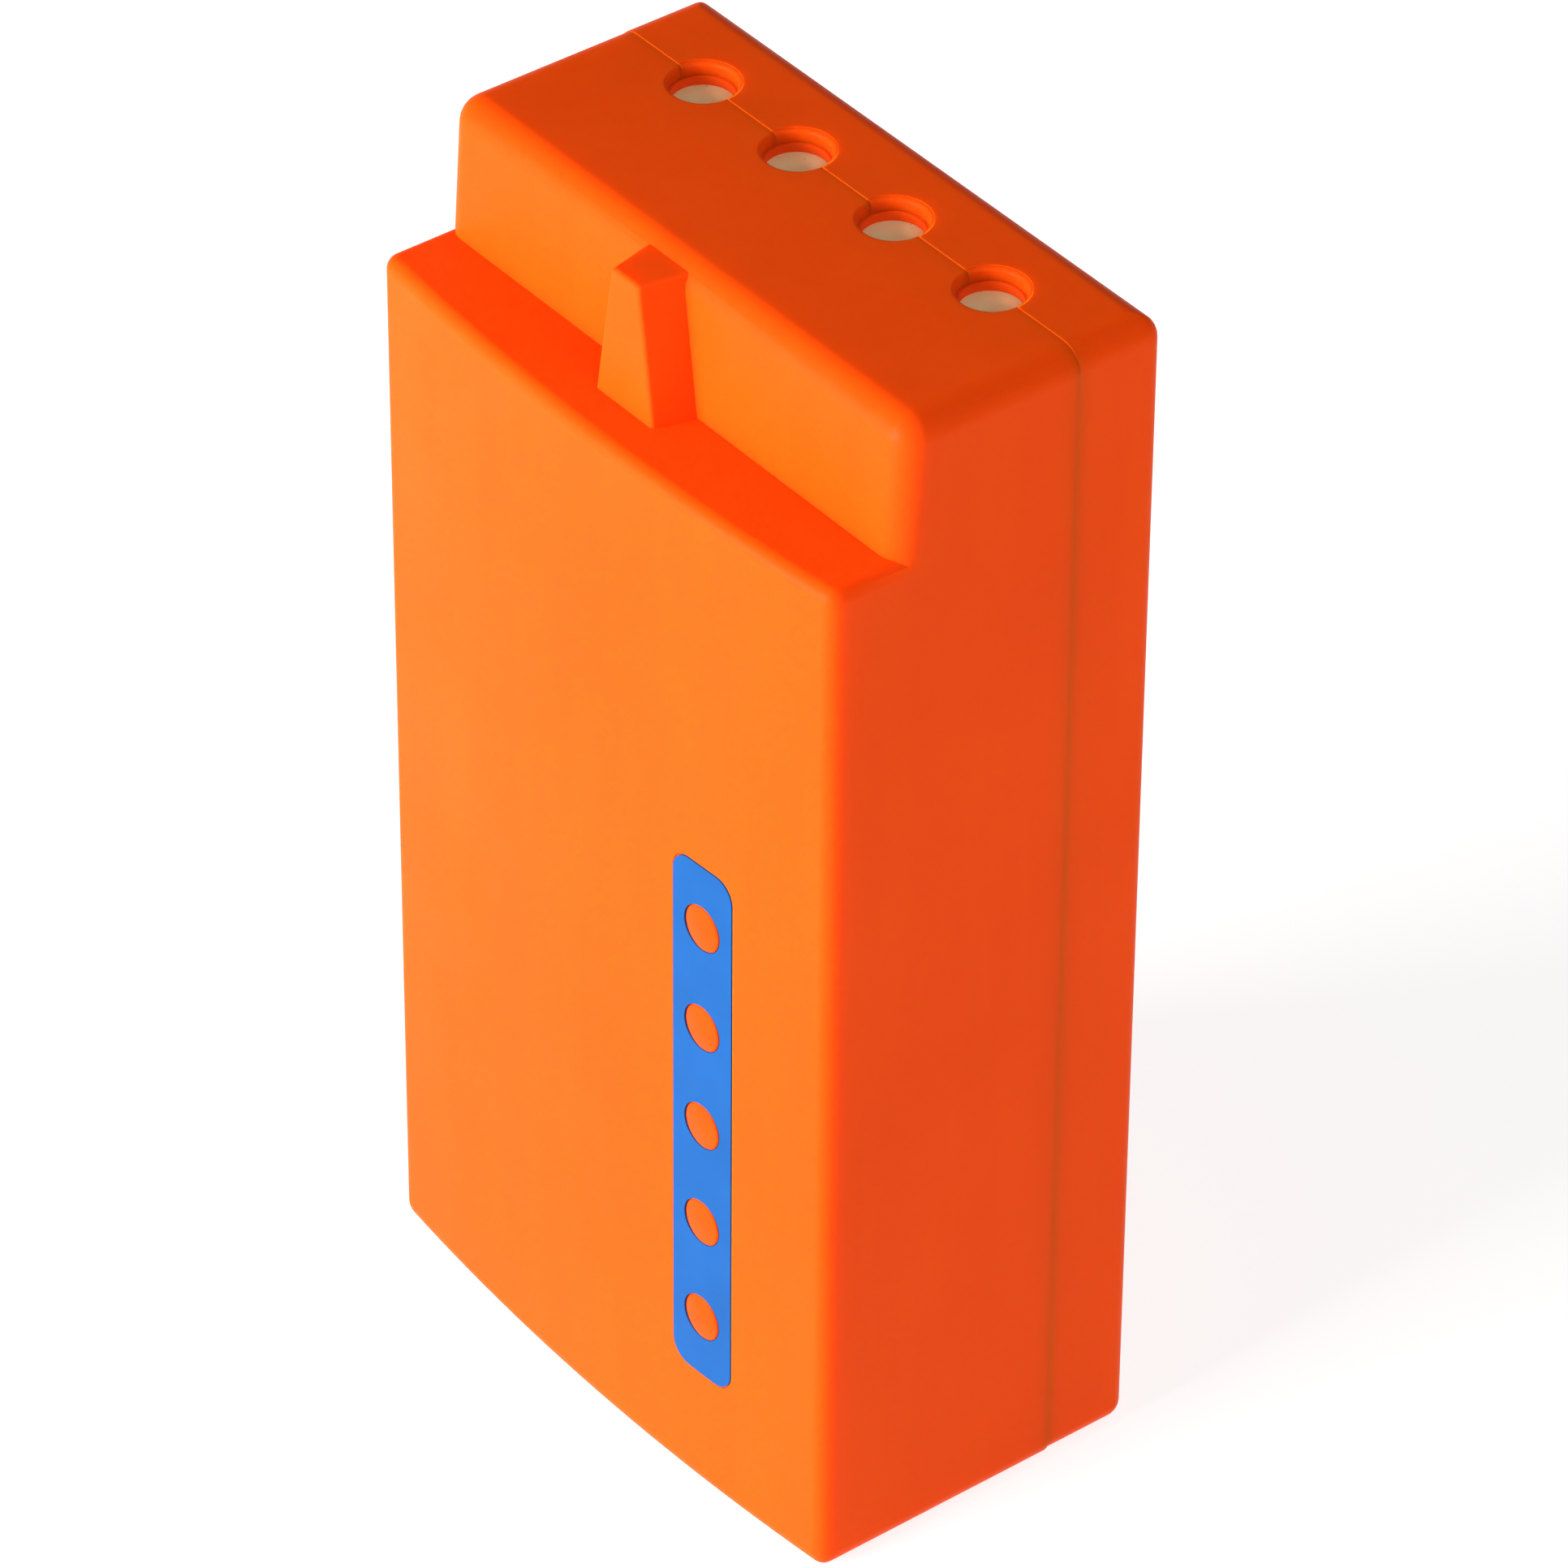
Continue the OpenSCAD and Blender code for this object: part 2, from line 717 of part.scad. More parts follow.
module contact_lead(i) {
    x = contact_x[i];
    y = y_seam - 2.6;
    color(i < 2 ? [0.1, 0.1, 0.1] : [0.75, 0.08, 0.06])
        wire([
            [x, y, contact_board_z], [x, y, contact_board_z - 2.5],
            [x * 0.85, lead_y, board_z[1] - 1], [x * 0.85, lead_y, board_z[1] - 5]
        ], lead_r);
}

module wire_negative() {
    color([0.1, 0.1, 0.1])
        wire([
            [-gusset_x, gusset_y, cell_z], [-gusset_x, gusset_y, cell_top - 1.5],
            [-gusset_x, power_y, board_z[0] - 2.5], [-gusset_x, power_y, board_z[0] + 4]
        ], power_r);
}

module wire_positive() {
    color([0.75, 0.08, 0.06])
        wire([
            [12.2, cell_y + 4, cell_top + 1.3], [9, cell_y + 4, cell_top + 1.5],
            [9, power_y, cell_top + 3.5], [9, power_y, board_z[0] + 5]
        ], power_r);
}

module wire_tap_top() {
    color([0.9, 0.9, 0.88])
        wire([
            [-3, cell_y - 3.2, cell_top + strip_t], [-3, cell_y - 3.2, cell_top + 1.5],
            [-3, tap_y, board_z[0]], [-3, tap_y, board_z[0] + 5]
        ], tap_r);
}

module wire_tap_bottom() {
    color([0.9, 0.75, 0.1])
        wire([
            [gusset_x, gusset_y, cell_z], [gusset_x, gusset_y, cell_top + 1.4],
            [3, tap_y + 0.5, cell_top + 1.7], [3, tap_y, board_z[0] + 1], [3, tap_y, board_z[0] + 5]
        ], tap_r);
}

// Cells -----------------------------------------------------------------------------------------

// Cell standing on its flat end, with a crimp groove under its shoulder and a raised cap
module cell_body() {
    groove_z = cell_h - 3.6;
    difference() {
        union() {
            cylinder(h = cell_h - cap_h - 0.2, r = cell_r - 0.2, $fn = 64);
            translate([0, 0, 0.4]) cylinder(h = cell_h - cap_h - 1, r = cell_r, $fn = 64);
            cylinder(h = cell_h, r = cap_r);
        }
        translate([0, 0, groove_z]) difference() {
            cylinder(h = 0.9, r = cell_r + 1);
            translate([0, 0, -1]) cylinder(h = 3, r = cell_r - 0.35, $fn = 64);
        }
    }
}

// Place for a cell: the middle one stands upside down, which puts the three in series
module at_cell(i) {
    flip = i == 1;
    translate([cell_x[i], cell_y, flip ? cell_z + cell_h : cell_z]) rotate([flip ? 180 : 0, 0, 0])
        children();
}

module cell(i) {
    color([0.16, 0.42, 0.36]) at_cell(i) cell_body();
}

module cell_insulators() {
    gap = 0.25;
    color([0.93, 0.93, 0.9]) for (i = [0:2]) at_cell(i)
        translate([0, 0, cell_h - cap_h - 0.2]) difference() {
            cylinder(h = ring_t, r = cell_r - 0.6);
            translate([0, 0, -1]) cylinder(h = 3, r = cap_r + gap);
        }
}

// Nickel strip lying at height z from x0 to x1 over the cells' ends
module nickel(x0, x1, z) {
    translate([x0, cell_y - strip_w / 2, z]) cube([x1 - x0, strip_w, strip_t]);
}

// Tab of a lower strip that reaches forward to its wire
module nickel_tab(x) {
    translate([x - 1.5, gusset_y - 1, cell_z - strip_t])
        cube([3, cell_y - gusset_y, strip_t]);
}

module strip_negative() {
    color([0.8, 0.8, 0.78]) {
        nickel(cell_x[0] - 4, -gusset_x + 1.5, cell_z - strip_t);
        nickel_tab(-gusset_x);
    }
}

module strip_bottom_link() {
    color([0.8, 0.8, 0.78]) {
        nickel(cell_x[1] - 4, cell_x[2] + 4, cell_z - strip_t);
        nickel_tab(gusset_x);
    }
}

module strip_top_link() {
    color([0.8, 0.8, 0.78]) nickel(cell_x[0] - 4, cell_x[1] + 4, cell_top);
}

module strip_positive() {
    color([0.8, 0.8, 0.78]) {
        nickel(cell_x[2] - 4, cell_x[2] + 4, cell_top);
        translate([cell_x[2] - 1.5, cell_y, cell_top]) cube([3, 5.6, strip_t]);
    }
}

// Thermal cut-out lying on the positive strip's tab
module thermal_fuse() {
    color([0.55, 0.56, 0.6]) translate([14.2, cell_y + 2.4, cell_top + strip_t]) {
        cube([8.6, 3.2, 1.8]);
        translate([-2, 1, 0.9]) cube([12.4, 1.2, 0.3]);
    }
}

// Temperature bead between two cells, with its pair of thin leads
module thermistor() {
    bead_y = cell_y - 5.6;
    lead = 0.2;
    spread = 0.45;
    color([0.08, 0.08, 0.08]) {
        translate([gusset_x, bead_y, 36]) sphere(1.1, $fn = 32);
        for (s = [-1, 1])
            wire([
                [gusset_x + s * spread, bead_y, 36], [gusset_x + s * spread, bead_y, cell_top + 1],
                [gusset_x + 2 + s * spread, board_back + lead, board_z[0]],
                [gusset_x + 2 + s * spread, board_back + lead, board_z[0] + 4]
            ], lead);
    }
}

// Tape band around the three cells
module tape_band(z) {
    t = 0.15;
    gap = 0.02;
    hx = cell_pitch + cell_r + gap;
    hy = cell_r + gap;
    color([0.95, 0.85, 0.3]) translate([0, cell_y, z]) linear_extrude(8) difference() {
        soft_rect(-hx - t, hx + t, -hy - t, hy + t, hy + t - eps, hy + t - eps);
        soft_rect(-hx, hx, -hy, hy, hy - eps, hy - eps);
    }
}

module tape_band_lower() { tape_band(7); }

module tape_band_upper() { tape_band(57); }

module foam_rear() {
    color([0.2, 0.2, 0.21]) translate([-24, inner_rear - foam_rear_t, 24])
        cube([48, foam_rear_t, 26]);
}

module foam_bottom() {
    color([0.2, 0.2, 0.21]) translate([-25, cell_y - 8, wall]) cube([50, 16, foam_t]);
}

front_shell();
rear_shell();
gauge_label();
light_pipe(0);  // light_pipe_1
light_pipe(1);  // light_pipe_2
light_pipe(2);  // light_pipe_3
light_pipe(3);  // light_pipe_4
light_pipe(4);  // light_pipe_5
gauge_board();
led(0);  // led_1
led(1);  // led_2
led(2);  // led_3
led(3);  // led_4
led(4);  // led_5
gauge_resistors();
gauge_screws();
gauge_socket();
gauge_ribbon();
main_board();
main_socket();
mosfet(-8);  // mosfet_1
mosfet(-17);  // mosfet_2
controller_chip();
shunt_resistor();
contact_carrier();
contact_pad(0);  // contact_pad_1
contact_pad(1);  // contact_pad_2
contact_pad(2);  // contact_pad_3
contact_pad(3);  // contact_pad_4
contact_board();
contact_screws();
contact_lead(0);  // contact_lead_1
contact_lead(1);  // contact_lead_2
contact_lead(2);  // contact_lead_3
contact_lead(3);  // contact_lead_4
cell(0);  // cell_1
cell(1);  // cell_2
cell(2);  // cell_3
cell_insulators();
strip_negative();
strip_top_link();
strip_bottom_link();
strip_positive();
thermal_fuse();
thermistor();
wire_negative();
wire_positive();
wire_tap_top();
wire_tap_bottom();
tape_band_lower();
tape_band_upper();
foam_rear();
foam_bottom();
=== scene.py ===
"""Slide-in battery pack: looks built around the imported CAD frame. Units are metres."""
import json
import math

import bmesh
import bpy
import numpy as np
from mathutils import Matrix, Vector


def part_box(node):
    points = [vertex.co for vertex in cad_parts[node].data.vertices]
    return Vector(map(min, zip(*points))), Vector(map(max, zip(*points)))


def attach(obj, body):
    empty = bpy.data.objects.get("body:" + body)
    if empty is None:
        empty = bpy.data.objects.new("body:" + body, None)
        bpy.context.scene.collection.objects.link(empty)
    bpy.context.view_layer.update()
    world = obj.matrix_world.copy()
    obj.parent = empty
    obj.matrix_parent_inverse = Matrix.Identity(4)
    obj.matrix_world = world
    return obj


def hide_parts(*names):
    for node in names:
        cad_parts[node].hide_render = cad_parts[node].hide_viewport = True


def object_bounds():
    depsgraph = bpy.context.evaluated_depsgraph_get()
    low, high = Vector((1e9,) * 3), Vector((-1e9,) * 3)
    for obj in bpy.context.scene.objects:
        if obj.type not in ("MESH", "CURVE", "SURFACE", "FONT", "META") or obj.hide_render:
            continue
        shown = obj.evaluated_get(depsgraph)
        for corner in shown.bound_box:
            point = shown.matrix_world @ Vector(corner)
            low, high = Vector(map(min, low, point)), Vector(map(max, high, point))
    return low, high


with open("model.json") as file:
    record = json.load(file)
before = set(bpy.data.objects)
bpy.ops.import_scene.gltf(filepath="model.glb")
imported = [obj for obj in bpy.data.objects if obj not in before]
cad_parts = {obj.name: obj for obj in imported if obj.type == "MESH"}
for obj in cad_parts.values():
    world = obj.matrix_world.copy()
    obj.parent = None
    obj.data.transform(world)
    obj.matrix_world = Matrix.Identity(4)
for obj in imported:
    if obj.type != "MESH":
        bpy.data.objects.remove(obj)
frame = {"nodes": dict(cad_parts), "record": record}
CAD_LOW, CAD_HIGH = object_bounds()
NODES = frame["nodes"]
MM = 0.001

# ---- materials -------------------------------------------------------------------------------


class Shader:
    """A Principled material, and short ways to add the nodes that vary it over the surface."""

    def __init__(self, name, roughness=0.5, metallic=0.0, ior=1.46):
        self.mat = bpy.data.materials.new(name)
        self.mat.use_nodes = True
        self.tree = self.mat.node_tree
        self.bsdf = self.tree.nodes["Principled BSDF"]
        self.set(self.bsdf, "Roughness", roughness)
        self.set(self.bsdf, "Metallic", metallic)
        self.set(self.bsdf, "IOR", ior)
        self.where = self.add("ShaderNodeTexCoord").outputs["Object"]

    def add(self, kind, **fields):
        node = self.tree.nodes.new(kind)
        for key, value in fields.items():
            setattr(node, key, value)
        return node

    @staticmethod
    def set(node, socket, value):
        node.inputs[socket].default_value = value

    def link(self, out, node, socket):
        self.tree.links.new(out, node.inputs[socket])

    def stretched(self, scale):
        """The surface coordinates, scaled by different amounts along the three axes."""
        node = self.add("ShaderNodeMapping")
        self.set(node, "Scale", scale)
        self.link(self.where, node, "Vector")
        return node.outputs["Vector"]

    def noise(self, size, detail=2.0, where=None):
        """Smooth noise whose features are about `size` metres across."""
        node = self.add("ShaderNodeTexNoise")
        self.set(node, "Scale", 1 / size)
        self.set(node, "Detail", detail)
        self.link(where or self.where, node, "Vector")
        return node.outputs["Fac"]

    def cells(self, size):
        node = self.add("ShaderNodeTexVoronoi")
        self.set(node, "Scale", 1 / size)
        self.link(self.where, node, "Vector")
        return node.outputs["Distance"]

    def ramp(self, fac, stops):
        """Colours along `fac`, as (place, colour) stops."""
        node = self.add("ShaderNodeValToRGB")
        points = node.color_ramp.elements
        while len(points) < len(stops):
            points.new(0.5)
        for point, (place, colour) in zip(points, stops):
            point.position = place
            point.color = (*colour, 1)
        self.link(fac, node, "Fac")
        return node.outputs["Color"]

    def spread(self, fac, low, high, start=0.3, end=0.7):
        """`fac` from start to end, mapped to numbers from low to high."""
        node = self.add("ShaderNodeMapRange")
        limits = {"From Min": start, "From Max": end, "To Min": low, "To Max": high}
        for socket, value in limits.items():
            self.set(node, socket, value)
        self.link(fac, node, "Value")
        return node.outputs["Result"]

    def bump(self, height, depth, strength=1.0, under=None):
        node = self.add("ShaderNodeBump")
        self.set(node, "Strength", strength)
        self.set(node, "Distance", depth)
        self.link(height, node, "Height")
        if under is not None:
            self.link(under, node, "Normal")
        return node.outputs["Normal"]

    def multiply(self, first, second):
        """One colour times another."""
        node = self.add("ShaderNodeMix", data_type="RGBA", blend_type="MULTIPLY")
        self.set(node, "Factor", 1.0)
        self.link(first, node, 6)
        self.link(second, node, 7)
        return node.outputs[2]

    def colour(self, out):
        self.link(out, self.bsdf, "Base Color")

    def rough(self, out):
        self.link(out, self.bsdf, "Roughness")

    def normal(self, out):
        self.link(out, self.bsdf, "Normal")


def shade(colour, factor):
    return tuple(c * factor for c in colour)


def plain_finish(name, colour, roughness, metallic=0.0, vary=0.12, size=0.006, stretch=(1, 1, 1),
                 grain=0.0003, depth=4e-6, gloss=0.5):
    """A surface with a soft change of tone, an uneven gloss and a fine grain, drawn out or not."""
    s = Shader(name, metallic=metallic)
    s.set(s.bsdf, "Specular IOR Level", gloss)
    where = s.stretched(stretch)
    tone = s.noise(size, 3.0, where)
    s.colour(s.ramp(tone, [(0.3, shade(colour, 1 - vary)), (0.7, shade(colour, 1 + vary))]))
    s.rough(s.spread(s.noise(size * 0.4, 2.0, where), roughness - 0.07, roughness + 0.07))
    s.normal(s.bump(s.noise(grain, 2.0, where), depth))
    return s.mat


def circuit_board():
    """Green solder mask, with lighter lines where copper lies under it."""
    s = Shader("circuit_board")
    bricks = s.add("ShaderNodeTexBrick")
    turn = s.add("ShaderNodeMapping")
    s.set(turn, "Rotation", (math.pi / 2, 0, 0))
    s.link(s.where, turn, "Vector")
    s.link(turn.outputs["Vector"], bricks, "Vector")
    pattern = {"Scale": 160.0, "Mortar Size": 0.035, "Brick Width": 0.8, "Row Height": 0.3}
    for socket, value in pattern.items():
        s.set(bricks, socket, value)
    s.set(bricks, "Color1", (0.010, 0.085, 0.034, 1))
    s.set(bricks, "Color2", (0.013, 0.100, 0.040, 1))
    s.set(bricks, "Mortar", (0.035, 0.19, 0.075, 1))
    s.colour(bricks.outputs["Color"])
    s.rough(s.spread(s.noise(0.004), 0.25, 0.4))
    s.normal(s.bump(bricks.outputs["Fac"], 2e-5, under=s.bump(s.noise(0.0003), 3e-6)))
    return s.mat


def flat_cable():
    """White cable with evenly spaced conductors along it."""
    s = Shader("flat_cable")
    bands = s.add("ShaderNodeTexWave", wave_type="BANDS", bands_direction="X")
    s.set(bands, "Scale", 320.0)
    s.link(s.where, bands, "Vector")
    stripes = bands.outputs["Fac"]
    s.colour(s.ramp(stripes, [(0.4, (0.84, 0.83, 0.78)), (0.75, (0.62, 0.61, 0.57))]))
    s.rough(s.spread(s.noise(0.003), 0.28, 0.42))
    s.normal(s.bump(stripes, 2e-5))
    return s.mat


def foam():
    """Foam: small dark cells between lighter walls."""
    s = Shader("foam", roughness=0.95)
    pits = s.cells(0.0007)
    s.colour(s.ramp(pits, [(0.1, (0.008, 0.008, 0.009)), (0.6, (0.06, 0.06, 0.064))]))
    s.rough(s.spread(s.noise(0.002), 0.85, 1.0))
    s.normal(s.bump(pits, 2e-4))
    return s.mat


def contact_metal():
    """Plated contact: a satin face with rubbed patches, fine scratches and a few dull specks."""
    s = Shader("contact_metal", metallic=0.15)
    s.set(s.bsdf, "Specular IOR Level", 0.3)
    rubbed = s.noise(0.0018, 3.0)
    plate = s.ramp(rubbed, [(0.35, (0.80, 0.82, 0.42)), (0.65, (0.86, 0.88, 0.47))])
    specks = s.ramp(s.cells(0.0011), [(0.05, (0.72, 0.66, 0.6)), (0.12, (1.0, 1.0, 1.0))])
    s.colour(s.multiply(plate, specks))
    scratches = s.noise(0.0004, 2.0, s.stretched((0.15, 1.0, 1.0)))
    s.rough(s.spread(rubbed, 0.38, 0.55))
    s.normal(s.bump(scratches, 4e-6))
    return s.mat


def case_plastic():
    """Satin moulded plastic: faint flow streaks along the height, a few dull patches, fine spark grain."""
    s = Shader("case_plastic", ior=1.47)
    s.set(s.bsdf, "Specular IOR Level", 0.04)
    s.set(s.bsdf, "Subsurface Weight", 0.6)
    s.set(s.bsdf, "Subsurface Radius", (1.0, 0.3, 0.1))
    s.set(s.bsdf, "Subsurface Scale", 0.003)
    streaks = s.noise(0.004, 2.0, s.stretched((1.0, 1.0, 0.12)))
    clouds = s.noise(0.03, 3.0)
    base = s.ramp(clouds, [(0.35, (0.85, 0.066, 0.0018)), (0.65, (0.89, 0.071, 0.0022))])
    streak = s.ramp(streaks, [(0.42, (0.985, 0.97, 0.96)), (0.6, (1.0, 1.0, 1.0))])
    s.colour(s.multiply(base, streak))
    s.rough(s.spread(s.noise(0.012, 4.0), 0.36, 0.46))
    grain = s.bump(s.noise(0.00022, 2.0), 1.5e-6)
    s.normal(s.bump(s.noise(0.009, 2.0), 1.2e-5, under=grain))
    return s.mat


def make_materials():
    along_x = (0.05, 1, 1)
    along_z = (1, 1, 0.1)
    wire = dict(roughness=0.45, stretch=along_z)
    bare_metal = dict(roughness=0.35, metallic=1.0)
    plain = {
        "label_film": dict(colour=(0.007, 0.072, 0.25), roughness=0.4, vary=0.05, gloss=0.05),
        "window_plastic": dict(
            colour=(0.87, 0.056, 0.002), roughness=0.25, vary=0.06, size=0.002, gloss=0.03,
        ),
        "lamp_resin": dict(colour=(0.88, 0.78, 0.48), roughness=0.2, size=0.001),
        "chip_body": dict(colour=(0.02, 0.02, 0.022), roughness=0.62, grain=0.0001, depth=8e-6),
        "screw_steel": dict(colour=(0.6, 0.6, 0.62), size=0.001, **bare_metal),
        "socket_plastic": dict(colour=(0.8, 0.77, 0.68), roughness=0.5, size=0.003),
        "carrier_plastic": dict(colour=(0.87, 0.075, 0.004), roughness=0.5, gloss=0.1),
        "wire_black": dict(colour=(0.02, 0.02, 0.02), **wire),
        "wire_red": dict(colour=(0.5, 0.02, 0.015), **wire),
        "wire_white": dict(colour=(0.8, 0.8, 0.77), **wire),
        "wire_yellow": dict(colour=(0.8, 0.55, 0.03), **wire),
        "cell_wrap": dict(
            colour=(0.03, 0.19, 0.14), roughness=0.28, grain=0.002, depth=2e-5, stretch=along_z,
        ),
        "insulating_paper": dict(colour=(0.85, 0.84, 0.78), roughness=0.85, grain=0.0004, depth=2e-5),
        "nickel_strip": dict(
            colour=(0.7, 0.69, 0.66), roughness=0.3, metallic=1.0, size=0.0008, stretch=along_x,
        ),
        "fuse_metal": dict(colour=(0.45, 0.46, 0.5), stretch=along_x, **bare_metal),
        "tape_film": dict(
            colour=(0.8, 0.6, 0.08), roughness=0.25, grain=0.003, depth=3e-5, stretch=along_z,
        ),
    }
    made = {name: plain_finish(name, **settings) for name, settings in plain.items()}
    for special in (case_plastic, circuit_board, flat_cable, foam, contact_metal):
        made[special.__name__] = special()
    return made


MATS = make_materials()

# ---- solids: lofts and cuts, with sizes in millimetres -----------------------------------------

HALF_W = CAD_HIGH.x / MM
Y_REAR = CAD_HIGH.y / MM
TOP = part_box("front_shell")[1].z / MM
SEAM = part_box("rear_shell")[0].y / MM
SEAM_RISE = 0.15
SEAM_INSET = 0.05
STEP = 102.5
NECK_Y = Y_REAR - 26.8
BULGE = 1.7
WALL = 1.8
LEAN = math.tan(math.radians(3.5))
BOW_R = (HALF_W ** 2 + BULGE ** 2) / (2 * BULGE)
BOW_Y = BOW_R - Y_REAR
BASE_R = 2.2
TOP_R = 2.3
NECK_R = 2.3
FRONT_R = 1.5
REAR_R = 1.5
STEP_R = 1.2
LEAST_R = 0.05
BEND_STEPS = 8


def arc(cx, cy, r, start, end, steps):
    """Points of an arc in the plan, with the angles in degrees."""
    turn = np.radians(np.linspace(start, end, steps + 1))
    return [(cx + r * math.cos(t), cy + r * math.sin(t)) for t in turn]


def rear_corners(hw, back, r):
    right = arc(hw - r, back - r, r, 0, 90, BEND_STEPS)
    left = arc(r - hw, back - r, r, 90, 180, BEND_STEPS)
    return right + left


def bowed_plan(inset, back):
    """Plan of the case below the step, going round from the left end of the bowed face."""
    hw = HALF_W - inset
    rf = max(FRONT_R - inset, LEAST_R)
    rr = max(REAR_R - inset, LEAST_R)
    reach = BOW_R - inset - rf
    cx = hw - rf
    cy = BOW_Y - math.sqrt(reach ** 2 - cx ** 2)
    lean = math.degrees(math.asin(cx / reach))
    bow = arc(0, BOW_Y, BOW_R - inset, -90 - lean, -90 + lean, 3 * BEND_STEPS)
    right = arc(cx, cy, rf, -90 + lean, 0, BEND_STEPS)[1:]
    left = arc(-cx, cy, rf, 180, 270 - lean, BEND_STEPS)[:-1]
    return bow + right + rear_corners(hw, back, rr) + left


def neck_plan(inset, back, z):
    """Plan of the neck at height z: a rectangle with round corners."""
    hw = HALF_W - inset
    front = NECK_Y + (z - STEP) * LEAN + inset
    rf = max(NECK_R - inset, LEAST_R)
    rr = max(REAR_R - inset, LEAST_R)
    wall = [(x, front) for x in np.linspace(rf - hw, hw - rf, 7)]
    right = arc(hw - rf, front + rf, rf, -90, 0, BEND_STEPS)[1:]
    left = arc(rf - hw, front + rf, rf, 180, 270, BEND_STEPS)[:-1]
    return wall + right + rear_corners(hw, back, rr) + left


def loft(rings):
    """A closed solid through rings of equally many points, each a list of (x, y, z)."""
    bm = bmesh.new()
    rows = [[bm.verts.new(Vector(p) * MM) for p in ring] for ring in rings]
    n = len(rows[0])
    for low, high in zip(rows, rows[1:]):
        for i in range(n):
            j = (i + 1) % n
            bm.faces.new((low[i], low[j], high[j], high[i]))
    bm.faces.new(rows[0][::-1])
    bm.faces.new(rows[-1])
    bmesh.ops.recalc_face_normals(bm, faces=bm.faces)
    return bm


def edge_round(r, steps=7):
    """(height below the face, inset) pairs over a quarter round that ends at the face."""
    turns = np.radians(np.linspace(0, 90, steps + 1))
    return [(r * (1 - math.sin(t)), r * (1 - math.cos(t))) for t in turns]


def lower_block(inset, back, base, top):
    rings = []
    for drop, more in edge_round(max(BASE_R - inset, LEAST_R))[::-1]:
        rings.append([(x, y, base + drop) for x, y in bowed_plan(inset + more, back - more)])
    for drop, more in edge_round(max(STEP_R - inset, LEAST_R)):
        rings.append([(x, y, top - drop) for x, y in bowed_plan(inset + more, back - more)])
    return loft(rings)


def neck_block(inset, back, base, top):
    rings = [[(x, y, base) for x, y in neck_plan(inset, back, base)]]
    for drop, more in edge_round(max(TOP_R - inset, LEAST_R)):
        z = top - drop
        rings.append([(x, y, z) for x, y in neck_plan(inset + more, back - more, z)])
    return loft(rings)


def box_solid(x0, x1, y0, y1, z0, z1):
    corners = [(x0, y0), (x1, y0), (x1, y1), (x0, y1)]
    return loft([[(x, y, z) for x, y in corners] for z in (z0, z1)])


def turned(profile, place, axis="z", steps=64):
    """A solid of revolution from (radius, height) pairs that start and end on the axis."""
    bm = bmesh.new()
    rings = []
    for r, h in profile:
        if r == 0:
            rings.append([bm.verts.new((0, 0, h * MM))])
            continue
        turns = [2 * math.pi * k / steps for k in range(steps)]
        points = [(r * math.cos(t), r * math.sin(t), h) for t in turns]
        rings.append([bm.verts.new(Vector(p) * MM) for p in points])
    for a, b in zip(rings, rings[1:]):
        for k in range(steps):
            m = (k + 1) % steps
            corners = [a[k % len(a)], a[m % len(a)], b[m % len(b)], b[k % len(b)]]
            bm.faces.new(list(dict.fromkeys(corners)))
    if axis == "-y":
        bmesh.ops.rotate(bm, verts=bm.verts, matrix=Matrix.Rotation(math.pi / 2, 3, "X"))
    bmesh.ops.translate(bm, verts=bm.verts, vec=Vector(place) * MM)
    bmesh.ops.recalc_face_normals(bm, faces=bm.faces)
    return bm


def hull_of(points):
    """The smallest convex solid that holds all the points."""
    bm = bmesh.new()
    for p in points:
        bm.verts.new(Vector(p) * MM)
    hull = bmesh.ops.convex_hull(bm, input=bm.verts)
    spare = [v for v in hull["geom_interior"] if isinstance(v, bmesh.types.BMVert)]
    bmesh.ops.delete(bm, geom=spare, context="VERTS")
    bmesh.ops.recalc_face_normals(bm, faces=bm.faces)
    return bm


def temporary(bm):
    """A short-lived object for the boolean modifiers."""
    mesh = bpy.data.meshes.new("tool")
    bm.to_mesh(mesh)
    bm.free()
    obj = bpy.data.objects.new("tool", mesh)
    bpy.context.scene.collection.objects.link(obj)
    return obj


def combine(first, how, *others):
    """first, joined with or cut by each of the others. It uses all of them up."""
    body = temporary(first)
    tools = [temporary(bm) for bm in others]
    for tool in tools:
        cut = body.modifiers.new("cut", "BOOLEAN")
        cut.operation = how
        cut.solver = "EXACT"
        cut.object = tool
    graph = bpy.context.evaluated_depsgraph_get()
    bm = bmesh.new()
    bm.from_mesh(body.evaluated_get(graph).to_mesh())
    for obj in (body, *tools):
        mesh = obj.data
        bpy.data.objects.remove(obj)
        bpy.data.meshes.remove(mesh)
    bmesh.ops.remove_doubles(bm, verts=bm.verts, dist=2e-7)
    return bm


def clean(bm):
    """Joins the flat pieces that the cuts left, and drops edges and points without a face."""
    bmesh.ops.dissolve_degenerate(bm, edges=bm.edges, dist=1e-6)
    bmesh.ops.dissolve_limit(bm, angle_limit=math.radians(0.05), verts=bm.verts, edges=bm.edges)
    bmesh.ops.delete(bm, geom=[e for e in bm.edges if not e.link_faces], context="EDGES")
    bmesh.ops.delete(bm, geom=[v for v in bm.verts if not v.link_faces], context="VERTS")
    return bm


def soften(bm, chosen, radius, segments=2):
    """Rounds the edges for which chosen(edge) is true, where they are sharper than 30 degrees."""
    edges = [e for e in bm.edges if len(e.link_faces) == 2 and chosen(e)]
    edges = [e for e in edges if e.calc_face_angle(0) > math.radians(30)]
    bmesh.ops.bevel(
        bm, geom=edges, offset=radius * MM, segments=segments, profile=0.5,
        affect="EDGES", clamp_overlap=True,
    )


